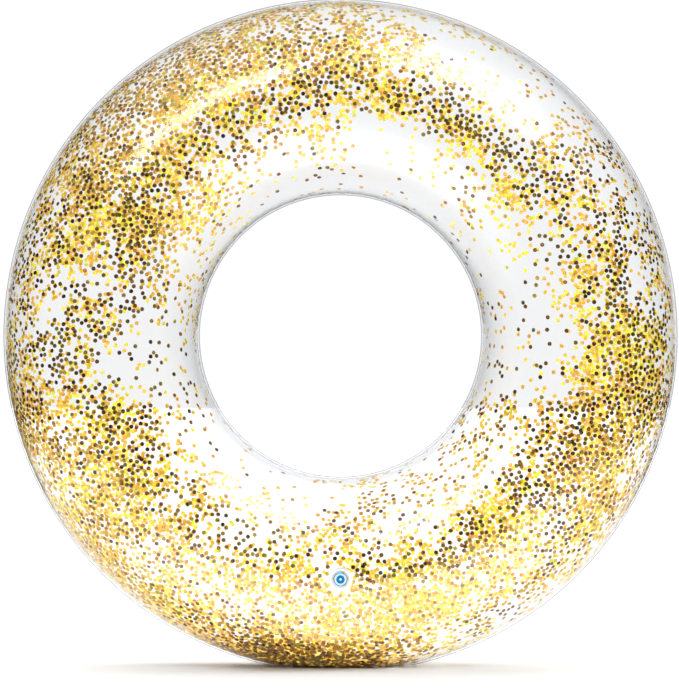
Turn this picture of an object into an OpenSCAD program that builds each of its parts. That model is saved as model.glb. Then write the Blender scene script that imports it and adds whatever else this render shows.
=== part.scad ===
// Clear inflatable swim ring with loose metallic confetti inside and a recessed safety valve.
// Millimetres. The ring stands upright on the floor: its axis is Y, its valve side faces -Y,
// and the origin is the middle of the small flat that the floor presses into it.

/* [Ring] */
// Outside diameter of the inflated ring, without its weld seam
ring_od = 1020; // [900:5:1150]
// Diameter of the inflated tube
tube_d = 293; // [260:1:320]
// Thickness of the vinyl film
film_t = 0.3; // [0.25:0.05:0.6]
// Width of the welded seam that stands out at the outer and the inner edge
seam_w = 3; // [2:0.5:6]
// Depth by which the floor flattens the lowest part of the ring
flat_depth = 8; // [4:1:14]

/* [Valve flange] */
// Diameter of the disc welded to the inside of the front panel
flange_d = 36; // [32:1:44]
// Thickness of that disc
flange_t = 0.5; // [0.4:0.1:1]
// Diameter of the well that the stem sinks into
well_d = 26; // [24:0.5:28]
// Width of the raised bead around the well
bead_w = 1; // [0.6:0.1:1.6]

/* [Valve stem] */
// Outside diameter of the stem
stem_d = 12.8; // [12:0.1:14]
// Length of the stem
stem_len = 20; // [18:1:24]
// Diameter of the bore that takes the pump nozzle
bore_d = 8; // [7:0.1:8.4]
// Diameter of the wider mouth that takes the plug
mouth_d = 8.8; // [8.6:0.1:9.4]
// Depth of that mouth
mouth_len = 5; // [4.5:0.5:7]
// Diameter of the lip at the mouth
lip_d = 15.2; // [14:0.1:16]
// Thickness of the lip
lip_t = 1.4; // [1:0.1:2]
// Depth of the lip's face below the front of the ring
recess = 3; // [2.5:0.1:4]

/* [Plug and flap] */
// Diameter of the plug's cap
cap_d = 17; // [16:0.5:18]
// Thickness of the cap
cap_t = 1.5; // [1.2:0.1:2]
// Width of the cap's thumb tab
tab_w = 6; // [4:0.5:8]
// Length of the tab beyond the cap's edge
tab_len = 2.8; // [2:0.2:3]
// Length of the plug's tapered barrel
barrel_len = 4; // [3:0.5:4.5]
// Width of the strap that holds the plug
strap_w = 3; // [2:0.5:4]
// Diameter of the non-return flap
flap_d = 11.2; // [10:0.2:12]
// Thickness of the flap
flap_t = 0.6; // [0.4:0.1:1]

/* [Confetti] */
// Pieces of confetti, shared among the colours
confetti_n = 600; // [60:60:900]
// Diameter of one piece
confetti_d = 6.6; // [4:0.2:8]
// Thickness of one piece
confetti_t = 0.1; // [0.05:0.05:0.2]

/* [Hidden] */
$fn = 96;

tube_r = tube_d / 2;
// Radius of the circle that the tube's centre follows
hoop_r = ring_od / 2 - tube_r;
// Height of the ring's axis above the floor
axis_z = ring_od / 2 - flat_depth;
// The valve is at the bottom of the front crest
valve_z = axis_z - hoop_r;
seam_overlap = 2 * film_t;
far = ring_od;

// Depths in the valve are measured inwards from the front of the ring
bead_depth = 1.6;
web_t = 0.6;
web_depth = 14.2;
gap = 0.05;
stem_end = recess + stem_len;
// Distance of the strap's loop, which the plug swings about, below the valve's axis
plug_hinge_z = 9.3;
barrel_top_r = mouth_d / 2 - 0.1;
barrel_tip_r = barrel_top_r - 0.6;
dimple_r = 2;
dimple_depth = 0.8;
tab_t = 0.9;
tab_rib = 0.5;
flap_hinge_z = 6;
flap_tab_w = 4;

// Steps of the two-dimensional golden-ratio sequence, as parts of a turn
confetti_step_a = 0.7548777;
confetti_step_b = 0.5698403;
confetti_clear = 0.1;
CONFETTI = ["lemon", "gold", "amber", "copper", "bronze", "olive"];
CONFETTI_RGB = [[0.98, 0.93, 0.45], [0.90, 0.72, 0.18], [0.88, 0.58, 0.16],
                [0.60, 0.38, 0.16], [0.28, 0.20, 0.10], [0.62, 0.62, 0.20]];

// Everything above a height
module above(z) {
    translate([-far, -far, z]) cube([2 * far, 2 * far, 2 * far]);
}

// The solid of the whole tube at one radius, lying round the ring's axis
module tube(radius) {
    translate([0, 0, axis_z]) rotate([90, 0, 0]) rotate_extrude()
        translate([hoop_r, 0]) circle(radius);
}

// The front half of the same solid
module front_half_tube(radius) {
    translate([0, 0, axis_z]) rotate([90, 0, 0]) rotate_extrude()
        translate([hoop_r, 0]) intersection() {
            circle(radius);
            translate([-radius, 0]) square([2 * radius, radius]);
        }
}

// One film's half of a weld seam, from one radius of the ring to another
module seam(r_in, r_out) {
    translate([0, 0, axis_z]) rotate([90, 0, 0]) rotate_extrude()
        translate([r_in, 0]) square([r_out - r_in, film_t]);
}

// Half of the ring's film, flattened where it stands, with its share of both seams
module half_shell() {
    difference() {
        intersection() {
            union() {
                front_half_tube(tube_r);
                seam(hoop_r + tube_r - seam_overlap, hoop_r + tube_r + seam_w);
                seam(hoop_r - tube_r - seam_w, hoop_r - tube_r + seam_overlap);
            }
            above(0);
        }
        intersection() {
            tube(tube_r - film_t);
            above(film_t);
        }
    }
}

// Puts a shape drawn along +Z, from z = 0 inwards, on the valve's axis
module at_valve() {
    translate([0, -tube_r, valve_z]) rotate([-90, 0, 0]) children();
}

// A straight disc on the valve's axis between two depths
module valve_disc(diameter, depth_0, depth_1) {
    at_valve() translate([0, 0, depth_0]) cylinder(d = diameter, h = depth_1 - depth_0);
}

module front_panel() {
    color([0.93, 0.95, 0.96, 0.35]) difference() {
        half_shell();
        valve_disc(well_d + 2 * bead_w, -1, bead_depth + 5);
    }
}

module rear_panel() {
    color([0.90, 0.92, 0.94, 0.35]) mirror([0, 1, 0]) half_shell();
}

// A disc that follows the film's curve, with a bead standing up round its well
module valve_flange() {
    color([0.85, 0.88, 0.90, 0.6]) difference() {
        union() {
            intersection() {
                difference() {
                    tube(tube_r - film_t);
                    tube(tube_r - film_t - flange_t);
                }
                valve_disc(flange_d, 0, bead_depth + 5);
            }
            valve_disc(well_d + 2 * bead_w, 0, bead_depth);
        }
        valve_disc(well_d, -1, bead_depth + 6);
    }
}

// The thin web that rolls inside out as the stem moves
module valve_diaphragm() {
    stem_r = stem_d / 2 + gap;
    rim_r = well_d / 2;
    color([0.80, 0.86, 0.90, 0.6]) at_valve() rotate_extrude() polygon([
        [rim_r - 0.1, bead_depth],
        [rim_r + 0.5, bead_depth],
        [rim_r + 0.5, bead_depth + web_t],
        [stem_r + web_t, web_depth],
        [stem_r, web_depth],
        [stem_r, web_depth - 1],
    ]);
}

module valve_stem() {
    color([0.45, 0.75, 0.90, 0.8]) difference() {
        union() {
            valve_disc(stem_d, recess, stem_end);
            valve_disc(lip_d, recess, recess + lip_t);
        }
        valve_disc(bore_d, recess - 1, stem_end + 1);
        valve_disc(mouth_d, recess - 1, recess + mouth_len);
    }
}

// A round-ended tab that points away from the strap, with a rib for the nail
module thumb_tab() {
    end_y = cap_d / 2 + tab_len - tab_w / 2;
    linear_extrude(tab_t) {
        translate([-tab_w / 2, -end_y]) square([tab_w, end_y]);
        translate([0, -end_y]) circle(d = tab_w);
    }
    translate([-tab_w / 4, -end_y - tab_rib, -tab_rib]) cube([tab_w / 2, 2 * tab_rib, 2 * tab_rib]);
}

// A flat cap with a dimple, on a tapered barrel that closes the stem's mouth
module valve_plug() {
    cap_face = recess - gap - cap_t;
    color([0.10, 0.45, 0.75, 0.85]) difference() {
        union() {
            valve_disc(cap_d, cap_face, recess - gap);
            at_valve() translate([0, 0, cap_face]) thumb_tab();
            at_valve() translate([0, 0, recess - gap])
                cylinder(r1 = barrel_top_r, r2 = barrel_tip_r, h = barrel_len);
        }
        valve_disc(2 * dimple_r, cap_face - 1, cap_face + dimple_depth);
    }
}

// A loop from the lip's edge, out and back to the cap's edge
module plug_strap() {
    strap_t = 0.6;
    mean_r = (cap_t + lip_t) / 4;
    lip_end = lip_d / 2 + gap;
    cap_end = cap_d / 2 + gap;
    color([0.45, 0.75, 0.90, 0.8]) at_valve()
        translate([-strap_w / 2, plug_hinge_z, recess - gap]) rotate([0, 90, 0])
            linear_extrude(strap_w) {
                intersection() {
                    difference() {
                        circle(mean_r + strap_t / 2);
                        circle(mean_r - strap_t / 2);
                    }
                    translate([-5, 0]) square([10, 5]);
                }
                translate([-mean_r - strap_t / 2, lip_end - plug_hinge_z])
                    square([strap_t, plug_hinge_z - lip_end]);
                translate([mean_r - strap_t / 2, cap_end - plug_hinge_z])
                    square([strap_t, plug_hinge_z - cap_end]);
            }
}

// The flap that air pressure holds shut against the stem's inner end
module check_flap() {
    color([0.55, 0.80, 0.92, 0.8]) {
        valve_disc(flap_d, stem_end + gap, stem_end + gap + flap_t);
        at_valve() translate([-flap_tab_w / 2, -flap_hinge_z, stem_end + gap])
            cube([flap_tab_w, 3, flap_t]);
    }
}

// One colour's share of the confetti, spread evenly over the inside of the film
module confetti(colour) {
    wall_r = tube_r - film_t - confetti_clear - confetti_t / 2;
    color(CONFETTI_RGB[colour]) translate([0, 0, axis_z])
        for (i = [colour : len(CONFETTI) : confetti_n - 1]) {
            a = 360 * (i * confetti_step_a - floor(i * confetti_step_a));
            b = 360 * (i * confetti_step_b - floor(i * confetti_step_b));
            from_axis = hoop_r + wall_r * sin(b);
            x = from_axis * cos(a);
            z = from_axis * sin(a);
            on_floor = axis_z + z < film_t + confetti_d;
            by_valve = cos(b) > 0 && norm([x, z + hoop_r]) < flange_d / 2 + confetti_d;
            if (!on_floor && !by_valve)
                rotate([0, -a, 0]) translate([hoop_r, 0, 0]) rotate([0, 0, b - 90])
                    translate([wall_r, 0, 0]) rotate([0, 90, 0])
                        cylinder(d = confetti_d, h = confetti_t, center = true);
        }
}

front_panel();
rear_panel();
valve_flange();
valve_diaphragm();
valve_stem();
valve_plug();
plug_strap();
check_flap();
confetti(0);  // glitter_lemon
confetti(1);  // glitter_gold
confetti(2);  // glitter_amber
confetti(3);  // glitter_copper
confetti(4);  // glitter_bronze
confetti(5);  // glitter_olive
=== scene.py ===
import math

import bpy
import numpy as np
from mathutils import Matrix, Vector, noise
from mathutils.kdtree import KDTree


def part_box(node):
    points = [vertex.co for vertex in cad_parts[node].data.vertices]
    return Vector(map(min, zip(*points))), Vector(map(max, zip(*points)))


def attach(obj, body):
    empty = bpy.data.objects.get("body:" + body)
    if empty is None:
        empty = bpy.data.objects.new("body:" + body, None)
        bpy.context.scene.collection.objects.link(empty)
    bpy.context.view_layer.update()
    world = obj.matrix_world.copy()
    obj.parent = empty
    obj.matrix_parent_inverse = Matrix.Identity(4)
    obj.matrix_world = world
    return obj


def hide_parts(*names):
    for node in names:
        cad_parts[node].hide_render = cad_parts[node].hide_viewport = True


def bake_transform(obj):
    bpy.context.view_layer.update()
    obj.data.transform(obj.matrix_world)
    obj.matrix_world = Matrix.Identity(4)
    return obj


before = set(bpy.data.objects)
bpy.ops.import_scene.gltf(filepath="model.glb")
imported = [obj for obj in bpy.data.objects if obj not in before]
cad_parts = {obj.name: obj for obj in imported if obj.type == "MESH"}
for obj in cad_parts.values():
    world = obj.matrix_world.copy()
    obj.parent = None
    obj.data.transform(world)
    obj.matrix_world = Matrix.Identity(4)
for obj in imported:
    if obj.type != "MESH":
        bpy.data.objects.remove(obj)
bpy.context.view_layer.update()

# ---------------------------------------------------------------- sizes, in metres, mostly from the frame
# Width of the flat weld seams and thickness of the film.
SEAM_W = 0.003
FILM_T = 0.0003
# Radius of the tube, radius of the hoop that runs along its middle, and height of the hoop's middle.
panel_low, panel_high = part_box("rear_panel")
TUBE_R = panel_high.y
HOOP_R = panel_high.x - SEAM_W - TUBE_R
AXIS_Z = panel_high.z - panel_high.x
# Distances of the seams' free edges from the ring's axis.
INNER_TIP = HOOP_R - TUBE_R - SEAM_W
OUTER_TIP = HOOP_R + TUBE_R + SEAM_W
# Height of the valve's axis, which lies along Y, and the front of the tube, where its depths start.
stem_low, stem_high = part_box("valve_stem")
VALVE_Z = (stem_low.z + stem_high.z) / 2
FRONT_Y = -TUBE_R
web_low, web_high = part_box("valve_diaphragm")
strap_low, strap_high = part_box("plug_strap")
# Radius of the hole in the front film, and of the space round the valve that the confetti can't reach.
HOLE_R = 0.014
VALVE_SPACE_R = 0.018
# How far out from its axis the valve's colours change.
VALVE_REACH = 0.020

scene = bpy.context.scene
scene.view_settings.view_transform = "Standard"
scene.view_settings.look = "None"


# ---------------------------------------------------------------- camera
def make_camera():
    """Nearly level with the middle of the ring, far off, with a long lens."""
    distance = 7.3
    width_seen = 1.0334
    left = 0.0015
    below_axis = 0.0145
    data = bpy.data.cameras.new("camera")
    data.sensor_fit = "HORIZONTAL"
    data.sensor_width = 36
    data.lens = data.sensor_width * distance / width_seen
    data.clip_end = 100
    camera = bpy.data.objects.new("camera", data)
    camera.location = (-left, -distance, AXIS_Z - below_axis)
    camera.rotation_euler = (math.radians(90), 0, 0)
    scene.collection.objects.link(camera)
    scene.camera = camera


# ---------------------------------------------------------------- small helpers
def new_object(name, points, faces, smooth=True):
    """A mesh object in the part's own frame."""
    mesh = bpy.data.meshes.new(name)
    mesh.from_pydata([tuple(p) for p in points], [], faces)
    mesh.validate()
    if smooth:
        mesh.shade_smooth()
    obj = bpy.data.objects.new(name, mesh)
    scene.collection.objects.link(obj)
    return obj


def strip_faces(first, second):
    """Quads between two closed rows of vertices of the same length."""
    count = len(first)
    faces = []
    for i in range(count):
        m = (i + 1) % count
        faces.append((first[i], first[m], second[m], second[i]))
    return faces


def scaled(colour, by):
    """A colour made lighter or darker."""
    return tuple(min(1.0, c * by) for c in colour)


class Nodes:
    """The node tree of a new material or world, with short calls to add and join nodes."""

    # Nearly all of a noise texture's values lie between these.
    NOISE_REACH = (0.3, 0.7)

    def __init__(self, owner, output):
        self.owner = owner
        owner.use_nodes = True
        self.tree = owner.node_tree
        self.tree.nodes.clear()
        self.output = self.add(output)

    def add(self, kind, **values):
        """A new node. values are defaults of its inputs or, if it has no such input, its own settings."""
        node = self.tree.nodes.new(kind)
        for key, value in values.items():
            if key in node.inputs.keys():
                node.inputs[key].default_value = value
            else:
                setattr(node, key, value)
        return node

    def join(self, source, output, target, name):
        """Joins an output of one node to an input of another."""
        self.tree.links.new(source.outputs[output], target.inputs[name])

    def finish(self, shader):
        """Ends the tree with its last shader, and returns the material or world."""
        self.join(shader, 0, self.output, "Surface")
        return self.owner

    def texture(self, scale, detail=2.0):
        """Noise over the part's own frame, so that it doesn't depend on any unwrapping."""
        place = self.add("ShaderNodeTexCoord")
        node = self.add("ShaderNodeTexNoise", Scale=scale, Detail=detail)
        self.join(place, "Object", node, "Vector")
        return node

    def facing(self):
        """0 where a surface faces the eye and 1 where it is seen edge on."""
        return self.add("ShaderNodeLayerWeight", Blend=0.5)

    def map_range(self, source, output, reach, values, kind="LINEAR"):
        """A value that goes from one of values to the other as a node's output goes along reach."""
        node = self.add("ShaderNodeMapRange", interpolation_type=kind)
        node.inputs["From Min"].default_value = reach[0]
        node.inputs["From Max"].default_value = reach[1]
        node.inputs["To Min"].default_value = values[0]
        node.inputs["To Max"].default_value = values[1]
        self.join(source, output, node, "Value")
        return node

    def ramp(self, source, output, steps):
        """A colour that follows a node's output. steps are (value, colour), upwards."""
        node = self.add("ShaderNodeValToRGB")
        elements = node.color_ramp.elements
        for number, (value, colour) in enumerate(steps):
            if number > 1:
                elements.new(value)
            elements[number].position = value
            elements[number].color = (*colour, 1)
        self.join(source, output, node, "Fac")
        return node

    def noise_colour(self, source, low, high):
        """A colour that follows a noise, from one to another."""
        return self.ramp(source, "Fac", ((0.35, low), (0.65, high)))

    def radial_steps(self, steps, axis_z, widest):
        """A colour that changes with the distance from an axis along Y. steps are (radius, colour)."""
        place = self.add("ShaderNodeTexCoord")
        offset = self.add("ShaderNodeVectorMath", operation="SUBTRACT")
        offset.inputs[1].default_value = (0, 0, axis_z)
        self.join(place, "Object", offset, 0)
        flat = self.add("ShaderNodeVectorMath", operation="MULTIPLY")
        flat.inputs[1].default_value = (1, 0, 1)
        self.join(offset, "Vector", flat, 0)
        radius = self.add("ShaderNodeVectorMath", operation="LENGTH")
        self.join(flat, "Vector", radius, 0)
        share = self.map_range(radius, "Value", (0, widest), (0, 1))
        return self.ramp(share, "Result", [(reach / widest, colour) for reach, colour in steps])

    def product(self, first, second):
        """Two colours multiplied."""
        node = self.add("ShaderNodeVectorMath", operation="MULTIPLY")
        self.join(first, "Color", node, 0)
        self.join(second, "Color", node, 1)
        return node

    def roughen(self, shader, grain, low, high):
        """Lets a shader's roughness follow a noise."""
        rough = self.map_range(grain, "Fac", self.NOISE_REACH, (low, high))
        self.join(rough, "Result", shader, "Roughness")

    def bump(self, shader, relief, height):
        """Lets a shader's surface rise and fall with a noise."""
        node = self.add("ShaderNodeBump", Distance=height)
        self.join(relief, "Fac", node, "Height")
        self.join(node, "Normal", shader, "Normal")

    def mix(self, first, second, share, output=None):
        """Two shaders mixed. share is the second one's, as a number, or as a node and its output."""
        node = self.add("ShaderNodeMixShader")
        if output is None:
            node.inputs["Fac"].default_value = share
        else:
            self.join(share, output, node, "Fac")
        self.tree.links.new(first.outputs[0], node.inputs[1])
        self.tree.links.new(second.outputs[0], node.inputs[2])
        return node

    def under_mirror(self, body, mirror, gain, base):
        """A shader under a mirror layer, whose share grows by Schlick's rule, alike on both faces."""
        power = self.add("ShaderNodeMath", operation="POWER")
        power.inputs[1].default_value = 5
        self.join(self.facing(), "Facing", power, 0)
        share = self.add("ShaderNodeMath", operation="MULTIPLY_ADD")
        share.inputs[1].default_value = gain
        share.inputs[2].default_value = base
        self.join(power, "Value", share, 0)
        return self.mix(body, mirror, share, "Value")


def new_material(name):
    """The empty node tree of a new material."""
    return Nodes(bpy.data.materials.new(name), "ShaderNodeOutputMaterial")


# ---------------------------------------------------------------- materials
CLEAR = (1.0, 1.0, 1.0)
# What each face of the film lets through at the cut edge of a weld.
WELD_GREY = (0.76, 0.77, 0.79)
# What shows of the steps under the face of the valve's clear parts.
STEP_GREY = (0.42, 0.48, 0.56)
PALE_BLUE = (0.42, 0.72, 0.92)
DEEP_BLUE = (0.006, 0.105, 0.26)
RIM_BLUE = (0.10, 0.40, 0.75)
# A painted glint: the white dot in the middle of the plug's cap.
PAINTED_GLINT_BLUE = (0.80, 0.93, 1.0)


def clear_vinyl():
    """Thin clear film: what is behind it shows unbent, and it mirrors more at grazing angles."""
    n = new_material("clear_vinyl")
    ripple = n.texture(9.0, 3.0)
    grain = n.texture(420.0)
    tint = n.ramp(n.facing(), "Facing", (
        (0.20, (0.988, 0.990, 0.993)),
        (0.45, (0.958, 0.962, 0.969)),
        (1.00, (0.945, 0.950, 0.957)),
    ))
    weld = n.radial_steps((
        (INNER_TIP, WELD_GREY),
        (INNER_TIP + SEAM_W / 2, CLEAR),
        (OUTER_TIP - SEAM_W / 2, CLEAR),
        (OUTER_TIP, WELD_GREY),
    ), AXIS_Z, OUTER_TIP)
    clear = n.add("ShaderNodeBsdfTransparent")
    n.join(n.product(tint, weld), "Vector", clear, "Color")
    haze = n.add("ShaderNodeBsdfDiffuse", Color=(0.95, 0.96, 0.97, 1))
    mirror = n.add("ShaderNodeBsdfGlossy", Color=(0.97, 0.98, 1.0, 1))
    n.roughen(mirror, grain, 0.15, 0.20)
    n.bump(mirror, ripple, 0.0006)
    return n.finish(n.under_mirror(n.mix(clear, haze, 0.004), mirror, 0.5, 0.028))


def grey_band(start, end, fade):
    """Steps of a grey ring between two radii, for moulded_clear."""
    return [(start, CLEAR), (start + fade, STEP_GREY), (end - fade, STEP_GREY), (end, CLEAR)]


def moulded_clear(name, edge_colour, cloudiness, bands):
    """Thick clear moulding: greyer where it is seen edge on, and where there are steps under its face. bands
    are those places, as (radius, colour) out from the valve's axis."""
    n = new_material(name)
    grain = n.texture(700.0)
    tint = n.ramp(n.facing(), "Facing", ((0.20, (0.95, 0.96, 0.97)), (0.90, edge_colour)))
    tone = n.product(tint, n.radial_steps(bands, VALVE_Z, VALVE_REACH))
    clear = n.add("ShaderNodeBsdfTransparent")
    n.join(tone, "Vector", clear, "Color")
    cloudy = n.add("ShaderNodeBsdfDiffuse")
    n.join(tone, "Vector", cloudy, "Color")
    mirror = n.add("ShaderNodeBsdfGlossy", Color=(0.95, 0.97, 1.0, 1))
    n.roughen(mirror, grain, 0.08, 0.20)
    n.bump(mirror, grain, 0.00003)
    return n.finish(n.under_mirror(n.mix(clear, cloudy, cloudiness), mirror, 0.6, 0.05))


def tinted_vinyl(name, rings, alpha):
    """Translucent tinted moulding. rings are (radius, colour) steps out from the valve's axis, mostly because
    what lies under the surface shows through it; on the plug the white dot in the middle is a painted glint."""
    n = new_material(name)
    cloud = n.texture(260.0, 3.0)
    grain = n.texture(1800.0)
    shade = n.noise_colour(cloud, (0.86, 0.86, 0.86), CLEAR)
    tone = n.product(n.radial_steps(rings, VALVE_Z, VALVE_REACH), shade)
    body = n.add("ShaderNodeBsdfPrincipled", IOR=1.5, Alpha=alpha)
    body.inputs["Coat Weight"].default_value = 0.3
    body.inputs["Coat Roughness"].default_value = 0.08
    n.join(tone, "Vector", body, "Base Color")
    n.roughen(body, grain, 0.15, 0.30)
    n.bump(body, grain, 0.00004)
    return n.finish(body)


def foil(name, colour, metallic):
    """Lacquered metal foil, whose tone drifts from one piece to the next."""
    n = new_material(name)
    drift = n.texture(130.0, 1.0)
    grain = n.texture(900.0)
    body = n.add("ShaderNodeBsdfPrincipled", Metallic=metallic)
    shade = n.noise_colour(drift, scaled(colour, 0.68), scaled(colour, 1.25))
    n.join(shade, "Color", body, "Base Color")
    n.roughen(body, grain, 0.18, 0.34)
    return n.finish(body)


def floor_paint_with_painted_falloff():
    """White paint that looks even to the camera. To everything else it fades to dark further out: painted
    shade, as if only the floor's middle were lit, so that reflections and bounced light see only that lit
    middle.
    """
    n = new_material("floor_paint_with_painted_falloff")
    place = n.add("ShaderNodeTexCoord")
    away = n.add("ShaderNodeVectorMath", operation="LENGTH")
    n.join(place, "Object", away, "Vector")
    # Painted shade: for all but the camera the floor darkens away from the ring, as if only its middle were
    # lit.
    fade = n.map_range(away, "Value", (0.9, 2.0), (0.8, 0.04), "SMOOTHSTEP")
    mirrored = n.add("ShaderNodeBsdfDiffuse")
    n.join(fade, "Result", mirrored, "Color")
    seen = n.noise_colour(n.texture(3.0), (0.80, 0.80, 0.80), (0.82, 0.82, 0.82))
    direct = n.add("ShaderNodeBsdfDiffuse")
    n.join(seen, "Color", direct, "Color")
    path = n.add("ShaderNodeLightPath")
    return n.finish(n.mix(mirrored, direct, path, "Is Camera Ray"))


# ---------------------------------------------------------------- the film's shape
def rest_on_floor(z, lowest):
    """Height with everything below the floor pressed flat onto it, with a soft turn."""
    turn = 0.0009
    return lowest + turn * np.logaddexp(0.0, (z - lowest) / turn)


def pucker(a, b):
    """Outward swell of the film between the fine creases that run out from both weld seams."""
    inner_creases, inner_height, inner_fade = 64, 0.00035, 0.030
    outer_creases, outer_height, outer_fade = 118, 0.00045, 0.022
    smooth_edge = 0.006
    from_inner = np.arccos(np.clip(-np.sin(b), -1, 1)) * TUBE_R
    from_outer = math.pi * TUBE_R - from_inner
    wander = 0.5 * np.sin(3 * a + 1.0) + 0.8 * np.sin(7 * a)
    inner = np.sin(inner_creases * a + 2 * wander) * np.exp(-from_inner / inner_fade)
    outer = np.sin(outer_creases * a + 3 * wander) * np.exp(-from_outer / outer_fade)
    start = np.minimum(1, np.minimum(from_inner, from_outer) / smooth_edge)
    return start * (inner_height * inner + outer_height * outer)


def film_point(a, b, depth):
    """Points on the film. a goes round the ring, clockwise from the top as seen from the valve's side, and b
    round the tube, outwards from the front crest. depth is measured in from the outside."""
    reach = TUBE_R - depth + pucker(a, b)
    out = HOOP_R + reach * np.sin(b)
    z = rest_on_floor(AXIS_Z + out * np.cos(a), depth)
    return np.stack([out * np.sin(a), -reach * np.cos(b), z], axis=-1)


def seam_point(a, out, y):
    """Points on the flat welded seams, which wave a little at their free edge."""
    waves, wave_height = 41, 0.00035
    from_tube = np.abs(np.abs(out - HOOP_R) - TUBE_R) / SEAM_W
    wave = wave_height * np.sin(waves * a + 2 * np.sin(5 * a)) * from_tube ** 2
    z = rest_on_floor(AXIS_Z + out * np.cos(a), 0.0)
    return np.stack([out * np.sin(a), y + wave, z], axis=-1)


# Quads round the ring, and across each face of a film.
AROUND = 480
ACROSS = 80
# Width, in quads, of the square left open for the valve's patch.
PATCH = 8


def shell_rows():
    """Rows of points round the front film's closed shell: outside, inner seam, inside and outer seam. Also
    the number of the row where the inside starts."""
    ring_a = np.linspace(0, 2 * math.pi, AROUND, endpoint=False)
    turn = math.asin(FILM_T / TUBE_R)
    inner_middle = INNER_TIP + SEAM_W / 2
    outer_middle = OUTER_TIP - SEAM_W / 2
    rows = []
    for b in np.linspace(math.pi / 2 - turn, -math.pi / 2 + turn, ACROSS + 1):
        rows.append(film_point(ring_a, b, 0.0))
    for out, y in ((inner_middle, -FILM_T), (INNER_TIP, -FILM_T), (INNER_TIP, 0), (inner_middle, 0)):
        rows.append(seam_point(ring_a, out, y))
    first_inside = len(rows)
    for b in np.linspace(-math.pi / 2, math.pi / 2, ACROSS + 1):
        rows.append(film_point(ring_a, b, FILM_T))
    for out, y in ((outer_middle, 0), (OUTER_TIP, 0), (OUTER_TIP, -FILM_T), (outer_middle, -FILM_T)):
        rows.append(seam_point(ring_a, out, y))
    return np.array(rows), first_inside


def half_film(name, side, hole):
    """One welded half of the ring: a closed shell with both faces of its film and its share of both seams.
    side is -1 for the front and 1 for the rear. hole is the radius of the valve's opening, or 0."""
    rows, first_inside = shell_rows()
    count = len(rows)
    patch_rows = ((ACROSS - PATCH) // 2, first_inside + (ACROSS - PATCH) // 2)
    patch_column = (AROUND - PATCH) // 2
    left_open = set()
    if hole:
        for first in patch_rows:
            left_open.update((first + j, patch_column + i) for j in range(PATCH) for i in range(PATCH))
    faces = []
    for j in range(count):
        for i in range(AROUND):
            if (j, i) not in left_open:
                k = (j + 1) % count
                m = (i + 1) % AROUND
                faces.append((j * AROUND + i, j * AROUND + m, k * AROUND + m, k * AROUND + i))
    points = list(rows.reshape(-1, 3))
    if hole:
        outside = valve_patch(points, faces, patch_rows[0], patch_column, 0.0, hole, False)
        inside = valve_patch(points, faces, patch_rows[1], patch_column, FILM_T, hole, True)
        faces += strip_faces(outside, inside)
    if side > 0:
        points = [(x, -y, z) for x, y, z in points]
        faces = [face[::-1] for face in faces]
    obj = new_object(name, points, faces)
    sharp_from = math.radians(35)
    obj.data.set_sharp_from_angle(angle=sharp_from)
    return obj


def valve_patch(points, faces, row, column, depth, hole, backwards):
    """Fills the square gap left round the valve with rings that pass from the square to a circle, and returns
    the circle's vertices, clockwise from the same corner on both faces of the film."""
    square = []
    for i in range(PATCH):
        square.append((row, column + i))
    for i in range(PATCH):
        square.append((row + i, column + PATCH))
    for i in range(PATCH):
        square.append((row + PATCH, column + PATCH - i))
    for i in range(PATCH):
        square.append((row + PATCH - i, column))
    if backwards:
        square = [(2 * row + PATCH - j, i) for j, i in square]
    previous = [j * AROUND + i for j, i in square]
    rim = np.array([points[i] for i in previous])[:, [0, 2]] - (0.0, VALVE_Z)
    angle = np.arctan2(rim[:, 1], rim[:, 0])
    circle = hole * np.stack([np.cos(angle), np.sin(angle)], axis=-1)
    steps = 7
    for share in np.linspace(0, 1, steps + 1)[1:]:
        x, z = (rim * (1 - share) + circle * share + (0.0, VALVE_Z)).T
        a = np.arctan2(x, z - AXIS_Z)
        b = np.arcsin((np.hypot(x, z - AXIS_Z) - HOOP_R) / (TUBE_R - depth))
        start = len(points)
        points.extend(film_point(a, b, depth))
        current = list(range(start, start + len(square)))
        ring = strip_faces(previous, current)
        faces += [face[::-1] for face in ring] if backwards else ring
        previous = current
    return previous


# ---------------------------------------------------------------- confetti
FLAKE_R = 0.0033
FLAKE_T = 0.0001
FLAKE_SIDES = 9
# Clearance between the film and the confetti that lies on it, and how far the pieces tilt, in degrees.
FLAKE_GAP = 0.00012
FLAKE_TILT = 7

# Where the confetti has gathered: hour on the clock face, place across the ring from -1 at the hole to 1 at
# the outer edge, spread in hours, spread across, and weight.
DRIFTS = (
    (10.1, 0.10, 0.70, 0.60, 3.8),
    (10.8, 0.60, 0.8, 0.45, 2.2),
    (11.9, 0.45, 0.6, 0.40, 2.4),
    (11.4, 1.00, 0.5, 0.12, 1.6),
    (8.0, 0.35, 0.6, 0.65, 3.6),
    (9.0, 0.95, 0.8, 0.20, 1.0),
    (7.2, 0.90, 0.8, 0.25, 2.2),
    (6.1, 0.95, 0.5, 0.25, 4.0),
    (6.0, 0.20, 0.6, 0.35, 0.7),
    (5.4, 0.15, 0.6, 0.35, 2.6),
    (4.2, 0.30, 0.7, 0.50, 2.8),
    (3.3, 0.60, 0.6, 0.45, 2.4),
    (2.2, 0.35, 0.7, 0.45, 0.7),
    (1.1, 0.05, 0.5, 0.15, 2.6),
    (12.4, 0.00, 0.8, 0.18, 0.9),
    (5.5, -0.70, 0.5, 0.30, 1.3),
    (4.0, -0.70, 0.5, 0.30, 0.7),
)
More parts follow.
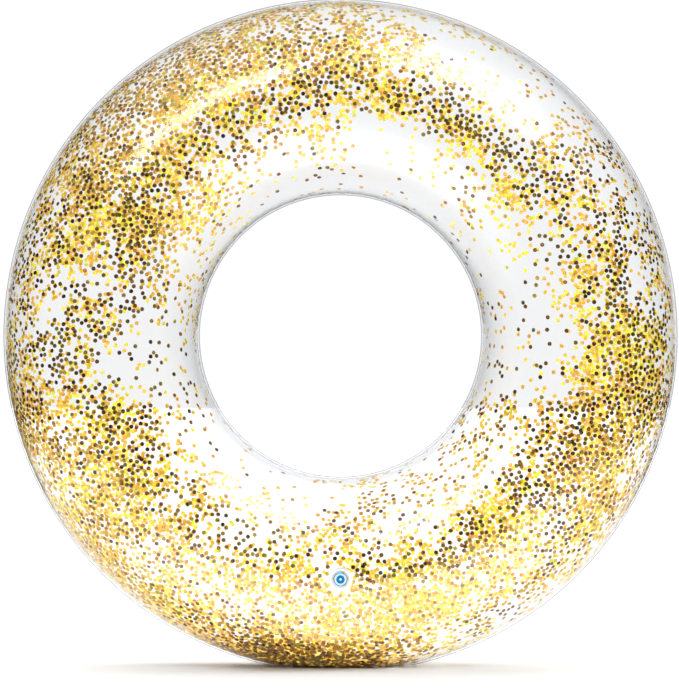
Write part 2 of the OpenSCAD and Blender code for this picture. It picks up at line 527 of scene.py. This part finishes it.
# Places that the confetti has left bare, given the same way, with the part that is missing.
GAPS = (
    (0.9, 0.78, 1.0, 0.30, 0.95),
    (2.0, 1.00, 0.7, 0.15, 0.60),
    (4.9, 1.00, 0.6, 0.20, 0.75),
    (9.1, 0.20, 0.35, 0.90, 0.50),
    (12.2, -0.65, 1.2, 0.35, 0.75),
    (2.5, -0.70, 0.9, 0.40, 0.60),
    (7.0, -0.90, 1.0, 0.25, 0.50),
)
# Weight of the confetti that lies everywhere.
EVEN = 0.25
# The part of it all that is left next to the hole, and the place across the ring where it starts to grow.
HOLE_SIDE = 0.22
HOLE_SIDE_END = -0.75
# Frequencies of the noises that make the confetti patchy, and how strongly they do.
PATCHES = (11, 30, 75)
PATCH_CONTRAST = 2.3
# The density at which every place that is tried gets its piece.
FULL_DENSITY = 9.0
# Pieces on both walls, and the part of them on the far wall.
FLAKES = 18400
FAR_SHARE = 0.66
# Least distance between pieces on each wall, and the part of the pieces that may lie nearer.
NEAR_APART = 0.95 * 2 * FLAKE_R
FAR_APART = 0.62 * 2 * FLAKE_R
OVERLAPPING = 0.08
# The heap at the very bottom, where the confetti lies several pieces deep.
HEAP = 3000
HEAP_HOUR = 6.15
HEAP_HOURS = 0.31
HEAP_ROUND_TUBE = 0.40
HEAP_DEPTH = 0.0016
# The heap holds the warm colours: the part of FOILS, by share, from the first value to the second.
HEAP_KINDS = (0.24, 0.63)

# Colour of the face turned inwards, colour of the face turned to the film, and share of the confetti. The
# second
# is a darker copy of the first: painted shade, so that the near wall's confetti, which shows the face turned
# to the film, looks darker than the far wall's.
FOILS = {
    "lemon": ((0.92, 0.72, 0.04), (0.70, 0.50, 0.06), 0.25),
    "gold": ((0.91, 0.57, 0.03), (0.62, 0.36, 0.04), 0.23),
    "amber": ((0.88, 0.42, 0.03), (0.50, 0.22, 0.02), 0.15),
    "olive": ((0.80, 0.74, 0.05), (0.23, 0.16, 0.01), 0.12),
    "copper": ((0.80, 0.42, 0.05), (0.36, 0.13, 0.01), 0.14),
    "bronze": ((0.68, 0.40, 0.03), (0.12, 0.042, 0.005), 0.11),
}
# How much commoner each colour is in some places than in others, and the frequency of that noise.
KIND_DRIFT = 0.35
KIND_PATCHES = 7


def drift_density(hour, across):
    """How thickly the confetti lies at places on the ring."""
    def spot(at, mid, wide, tall):
        apart = np.abs((hour - at + 6) % 12 - 6)
        return np.exp(-((apart / wide) ** 2) - ((across - mid) / tall) ** 2)

    total = EVEN + sum(weight * spot(*place) for *place, weight in DRIFTS)
    for *place, missing in GAPS:
        total *= 1 - missing * spot(*place)
    return total * np.clip(HOLE_SIDE + across - HOLE_SIDE_END, HOLE_SIDE, 1.0)


def noise_at(points, frequency):
    """Smooth noise at each of the points."""
    return np.array([noise.noise(p * frequency) for p in map(Vector, points)])


def patchiness(points):
    """Uneven spots, a few pieces of confetti wide, that multiply the density."""
    return np.exp(PATCH_CONTRAST * sum(noise_at(points, frequency) for frequency in PATCHES))


def scatter():
    """Places of all the confetti, as arrays: a, b, height above the film, tilt, turn and kind."""
    seed = 29
    rng = np.random.default_rng(seed)
    far = round(FLAKES * FAR_SHARE)
    near_wall = scatter_on_wall(rng, 0.0, FLAKES - far, NEAR_APART)
    far_wall = scatter_on_wall(rng, math.pi, far, FAR_APART)
    heap = np.stack([
        rng.normal(HEAP_HOUR, HEAP_HOURS, HEAP) * math.pi / 6,
        rng.normal(math.pi / 2, HEAP_ROUND_TUBE, HEAP),
    ], axis=1)
    a, b = np.concatenate([near_wall, far_wall, heap]).T
    count = len(a)
    height = np.concatenate([np.zeros(FLAKES), rng.exponential(HEAP_DEPTH, HEAP)])
    tilt = np.radians(np.abs(rng.normal(0, FLAKE_TILT, count)))
    turn = rng.uniform(0, 2 * math.pi, count)
    drift = noise_at(film_point(a, b, 0.0), KIND_PATCHES)
    pick = np.clip(rng.uniform(0, 1, count) + KIND_DRIFT * drift, 0, 0.999)
    pick[FLAKES:] = np.interp(pick[FLAKES:], (0, 1), HEAP_KINDS)
    kind = np.searchsorted(np.cumsum([share for _, _, share in FOILS.values()])[:-1], pick)
    return a, b, height, tilt, turn, kind


def scatter_on_wall(rng, crest, count, apart):
    """Places on the half of the tube round one crest, thicker where the confetti has drifted."""
    batch = 40000
    found = np.empty((0, 2))
    while len(found) < count:
        a = rng.uniform(0, 2 * math.pi, batch)
        b = rng.uniform(crest - math.pi / 2, crest + math.pi / 2, batch)
        across = np.sin(b)
        wide = (HOOP_R + TUBE_R * across) / (HOOP_R + TUBE_R)
        density = wide * drift_density(a * 6 / math.pi, across) * patchiness(film_point(a, b, 0.0))
        wanted = rng.uniform(0, FULL_DENSITY, batch) < density
        found = clear_of_others(np.concatenate([found, np.stack([a, b], axis=1)[wanted]]), apart, rng)
    return found[:count]


def clear_of_others(places, apart, rng):
    """Leaves out most of the places too near an earlier one, because the film holds them one by one."""
    points = film_point(places[:, 0], places[:, 1], 0.0)
    tree = KDTree(len(points))
    for i, point in enumerate(points):
        tree.insert(point, i)
    tree.balance()
    kept = np.ones(len(points), bool)
    may_overlap = rng.random(len(points)) < OVERLAPPING
    for i, point in enumerate(points):
        near = (j for _, j, _ in tree.find_range(point, apart))
        kept[i] = may_overlap[i] or not any(j < i and kept[j] for j in near)
    return places[kept]


def unit(vectors):
    """Vectors made one long."""
    return vectors / np.linalg.norm(vectors, axis=1)[:, None]


def make_confetti():
    """One piece for each colour, in the place of that colour's few CAD discs."""
    *found, kinds = scatter()
    valve = np.array([0.0, FRONT_Y, VALVE_Z])
    step = 1e-4
    for number, (kind, (bright, dark, _)) in enumerate(FOILS.items()):
        a, b, height, tilt, turn = (values[kinds == number] for values in found)
        depth = FILM_T + FLAKE_GAP + FLAKE_T / 2 + FLAKE_R * np.sin(tilt) + height
        centre = film_point(a, b, depth)
        clear = np.linalg.norm(centre - valve, axis=1) > VALVE_SPACE_R + 2 * FLAKE_R
        a, b, tilt, turn, depth, centre = (values[clear] for values in (a, b, tilt, turn, depth, centre))
        along = unit(film_point(a + step, b, depth) - centre)
        round_tube = film_point(a, b + step, depth) - centre
        out = unit(np.cross(along, round_tube))
        across = np.cross(along, out)
        lean = np.cos(turn)[:, None] * along + np.sin(turn)[:, None] * across
        normal = np.cos(tilt)[:, None] * out + np.sin(tilt)[:, None] * lean
        obj = discs(f"confetti_{kind}", centre, normal, lean)
        # The face turned to the film gets the darker copy of the colour: painted shade for the near wall's
        # confetti.
        obj.data.materials.append(foil(f"foil_{kind}_film_side_painted_shade", dark, 0.9))
        obj.data.materials.append(foil(f"foil_{kind}", bright, 0.1))
        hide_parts(f"glitter_{kind}")
        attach(obj, "ring")


def discs(name, centre, normal, lean):
    """Thin closed discs. The face along the normal has material 0 and the rest has material 1."""
    side = unit(np.cross(normal, lean))
    other = np.cross(side, normal)
    angle = np.linspace(0, 2 * math.pi, FLAKE_SIDES, endpoint=False)
    rim = other[:, None] * np.cos(angle)[None, :, None] + side[:, None] * np.sin(angle)[None, :, None]
    rim = rim * FLAKE_R + centre[:, None]
    lift = normal[:, None] * (FLAKE_T / 2)
    points = np.concatenate([rim + lift, rim - lift], axis=1).reshape(-1, 3)
    faces = []
    tops = []
    for i in range(len(centre)):
        first = i * 2 * FLAKE_SIDES
        top = list(range(first, first + FLAKE_SIDES))
        base = [p + FLAKE_SIDES for p in top]
        tops.append(len(faces))
        faces.append(top)
        faces.append(base[::-1])
        for j in range(FLAKE_SIDES):
            k = (j + 1) % FLAKE_SIDES
            faces.append((top[j], base[j], base[k], top[k]))
    obj = new_object(name, points, faces, smooth=False)
    index = np.ones(len(obj.data.polygons), np.int32)
    index[tops] = 0
    obj.data.polygons.foreach_set("material_index", index)
    return obj


# ---------------------------------------------------------------- valve
def slopes(line):
    """Unit direction of a line of (x, y) points at each of them."""
    found = []
    for i in range(len(line)):
        before, after = line[max(i - 1, 0)], line[min(i + 1, len(line) - 1)]
        run, rise = after[0] - before[0], after[1] - before[1]
        size = math.hypot(run, rise)
        found.append((run / size, rise / size))
    return found


def revolved(name, profile, turns=64):
    """A closed profile of (radius, depth) points turned about the valve's axis."""
    points = []
    for i in range(turns):
        angle = 2 * math.pi * i / turns
        for radius, depth in profile:
            points.append((radius * math.cos(angle), FRONT_Y + depth, VALVE_Z + radius * math.sin(angle)))
    count = len(profile)
    faces = []
    for i in range(turns):
        first = i * count
        second = (i + 1) % turns * count
        faces += strip_faces(range(first, first + count), range(second, second + count))
    return new_object(name, points, faces)


def make_diaphragm(material):
    """The web between the flange's bead and the stem, a soft trough that rolls as the stem slides."""
    rim_r = 0.01325
    root_r = 0.00665
    thick = 0.0006
    softness = 0.65
    shallow = web_low.y - FRONT_Y + thick / 2
    deep = web_high.y - FRONT_Y - thick / 2
    line = []
    for t in np.linspace(0, 1, 25):
        ease = t * t * (3 - 2 * t)
        radius = rim_r + (root_r - rim_r) * ((1 - softness) * t + softness * ease)
        line.append((radius, shallow + (deep - shallow) * t))
    outer, inner = [], []
    for (radius, depth), (run, fall) in zip(line, slopes(line)):
        outer.append((radius + thick / 2 * fall, depth - thick / 2 * run))
        inner.append((radius - thick / 2 * fall, depth + thick / 2 * run))
    obj = revolved("diaphragm_web", outer + inner[::-1])
    obj.data.materials.append(material)
    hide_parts("valve_diaphragm")
    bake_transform(obj)


def make_strap(material):
    """The strap's loop from the stem's lip to the plug's cap."""
    thick = 0.0006
    cap_r = 0.00855
    bend_steps = 16
    corners = 12
    half_w = (strap_high.x - strap_low.x) / 2
    middle_y = (strap_low.y + strap_high.y) / 2
    loop_r = (strap_high.y - strap_low.y) / 2 - thick / 2
    turn_z = strap_low.z + loop_r + thick / 2
    line = [(z, middle_y + loop_r) for z in np.linspace(strap_high.z, turn_z, 7)[:-1]]
    for i in range(bend_steps + 1):
        angle = math.pi * i / bend_steps
        line.append((turn_z - loop_r * math.sin(angle), middle_y + loop_r * math.cos(angle)))
    line += [(z, middle_y - loop_r) for z in np.linspace(turn_z, VALVE_Z - cap_r, 5)[1:]]
    section = []
    for i in range(corners):
        angle = 2 * math.pi * i / corners
        section.append((
            half_w * math.copysign(abs(math.cos(angle)) ** 0.5, math.cos(angle)),
            thick / 2 * math.copysign(abs(math.sin(angle)) ** 0.5, math.sin(angle)),
        ))
    points = []
    for (z, y), (dz, dy) in zip(line, slopes(line)):
        for across, up in section:
            points.append((across, y + up * dz, z - up * dy))
    rings = [list(range(i * corners, (i + 1) * corners)) for i in range(len(line))]
    faces = []
    for first, second in zip(rings, rings[1:]):
        faces += strip_faces(first, second)
    faces.append(rings[0][::-1])
    faces.append(rings[-1])
    obj = new_object("strap_loop", points, faces)
    obj.data.materials.append(material)
    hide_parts("plug_strap")
    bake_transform(obj)


def repaint(node, material):
    """A CAD node keeps its shape and gets a better material."""
    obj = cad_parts[node]
    obj.data.materials.clear()
    obj.data.materials.append(material)


def make_valve():
    """The valve: better materials for its CAD pieces, and soft shapes for the web and the strap."""
    flange_bands = grey_band(0.0124, 0.0138, 0.0004) + grey_band(0.0160, 0.0173, 0.0004)
    flange_vinyl = moulded_clear("valve_clear", (0.20, 0.25, 0.32), 0.5, flange_bands)
    web_vinyl = moulded_clear("valve_web", (0.78, 0.82, 0.87), 0.3, grey_band(0.0092, 0.0108, 0.0005))
    plug_vinyl = tinted_vinyl("valve_blue", (
        # The white dot in the middle is a painted glint.
        (0.0, PAINTED_GLINT_BLUE),
        (0.0010, PAINTED_GLINT_BLUE),
        (0.0020, DEEP_BLUE),
        (0.0062, DEEP_BLUE),
        (0.0070, PALE_BLUE),
        (0.0078, PALE_BLUE),
        (0.0085, RIM_BLUE),
    ), 0.92)
    stem_rings = ((0.0, DEEP_BLUE), (0.0050, PALE_BLUE), (0.0070, PALE_BLUE))
    stem_vinyl = tinted_vinyl("valve_pale_blue", stem_rings, 0.6)
    repaint("valve_flange", flange_vinyl)
    repaint("valve_stem", stem_vinyl)
    repaint("valve_plug", plug_vinyl)
    repaint("check_flap", stem_vinyl)
    make_diaphragm(web_vinyl)
    make_strap(stem_vinyl)


# ---------------------------------------------------------------- studio
def area_light(name, size, radiance):
    """A rectangular light of an even radiance, which the camera doesn't see."""
    width, height = size
    data = bpy.data.lights.new(name, "AREA")
    data.shape = "RECTANGLE"
    data.size = width
    data.size_y = height
    data.energy = radiance * math.pi * width * height
    light = bpy.data.objects.new(name, data)
    light.visible_camera = False
    scene.collection.objects.link(light)
    return light


def softbox(name, unlit, turned, off_axis, size, radiance, mirrored=True):
    """An area light that faces the ring's middle. turned is its angle from the top, clockwise, and off_axis
    its angle from the camera's direction. The objects in unlit get none of its light."""
    distance = 2.6
    turned, off_axis = math.radians(turned), math.radians(off_axis)
    place = Vector((
        math.sin(off_axis) * math.sin(turned),
        -math.cos(off_axis),
        math.sin(off_axis) * math.cos(turned),
    ))
    sideways = Vector((0, 1, 0)).cross(place).normalized()
    turn = Matrix((sideways, place.cross(sideways), place)).transposed()
    middle = Vector((0, 0, AXIS_Z))
    light = area_light(name, size, radiance)
    light.matrix_world = Matrix.LocRotScale(middle + place * distance, turn.to_quaternion(), None)
    light.visible_glossy = mirrored
    light.light_linking.receiver_collection = unlit


def bounce_card(size, under_ring, radiance):
    """A bright card that lies before the ring, just above the floor, and lights the underside of its front.
    under_ring is how far it reaches in behind the ring's front."""
    above_floor = 0.004
    card = area_light("bounce_card", size, radiance)
    card.location = (0, FRONT_Y + under_ring - size[1] / 2, above_floor)
    card.rotation_euler = (math.pi, 0, 0)


def make_lights(unlit):
    """Three softboxes, of which two show as highlights on the film, the card, and soft light from above."""
    softbox("key_softbox", unlit, turned=-31, off_axis=40, size=(1.2, 0.50), radiance=8.5)
    softbox("top_softbox", unlit, turned=27, off_axis=64, size=(1.2, 1.6), radiance=6.5)
    softbox("fill_softbox", unlit, turned=-20, off_axis=25, size=(2.2, 2.2), radiance=5.2, mirrored=False)
    bounce_card(size=(0.9, 0.62), under_ring=0.03, radiance=1.6)
    sun = bpy.data.lights.new("overhead", "SUN")
    sun.energy = 4.4
    sun.angle = math.radians(100)
    overhead = bpy.data.objects.new("overhead", sun)
    overhead.rotation_euler = (math.radians(-38), 0, 0)
    overhead.visible_glossy = False
    scene.collection.objects.link(overhead)


def make_room():
    """A dim room that is bright behind the ring and overhead. The camera itself sees it plain white."""
    dim = 0.02
    bright_behind = ("Y", (0.80, 0.96), 1.0)
    bright_overhead = ("Z", (0.40, 0.85), 0.9)
    world = bpy.data.worlds.new("studio")
    scene.world = world
    n = Nodes(world, "ShaderNodeOutputWorld")
    place = n.add("ShaderNodeTexCoord")
    parts = n.add("ShaderNodeSeparateXYZ")
    n.join(place, "Generated", parts, 0)
    bright = n.add("ShaderNodeMath", operation="MAXIMUM")
    for number, (axis, reach, top) in enumerate((bright_behind, bright_overhead)):
        glow = n.map_range(parts, axis, reach, (dim, top), "SMOOTHSTEP")
        n.join(glow, "Result", bright, number)
    room = n.add("ShaderNodeBackground")
    n.join(bright, "Value", room, "Color")
    seen = n.add("ShaderNodeBackground", Color=(1.03, 1.03, 1.03, 1))
    path = n.add("ShaderNodeLightPath")
    n.finish(n.mix(room, seen, path, "Is Camera Ray"))


def make_studio():
    """The floor, the lights and the room round them. The softboxes don't light the floor."""
    bpy.ops.mesh.primitive_plane_add(size=60)
    floor = bpy.context.object
    floor.name = "floor"
    floor.data.materials.append(floor_paint_with_painted_falloff())
    unlit = bpy.data.collections.new("not_lit_by_softboxes")
    unlit.objects.link(floor)
    unlit.collection_objects[0].light_linking.link_state = "EXCLUDE"
    make_lights(unlit)
    make_room()


# ---------------------------------------------------------------- the object
def make_films():
    """Both halves of the ring, in the place of the CAD panels."""
    vinyl = clear_vinyl()
    for name, side, hole, node in (
        ("front_film", -1, HOLE_R, "front_panel"),
        ("rear_film", 1, 0, "rear_panel"),
    ):
        film = half_film(name, side, hole)
        film.data.materials.append(vinyl)
        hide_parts(node)
        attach(film, "ring")


make_camera()
make_studio()
make_films()
make_confetti()
make_valve()
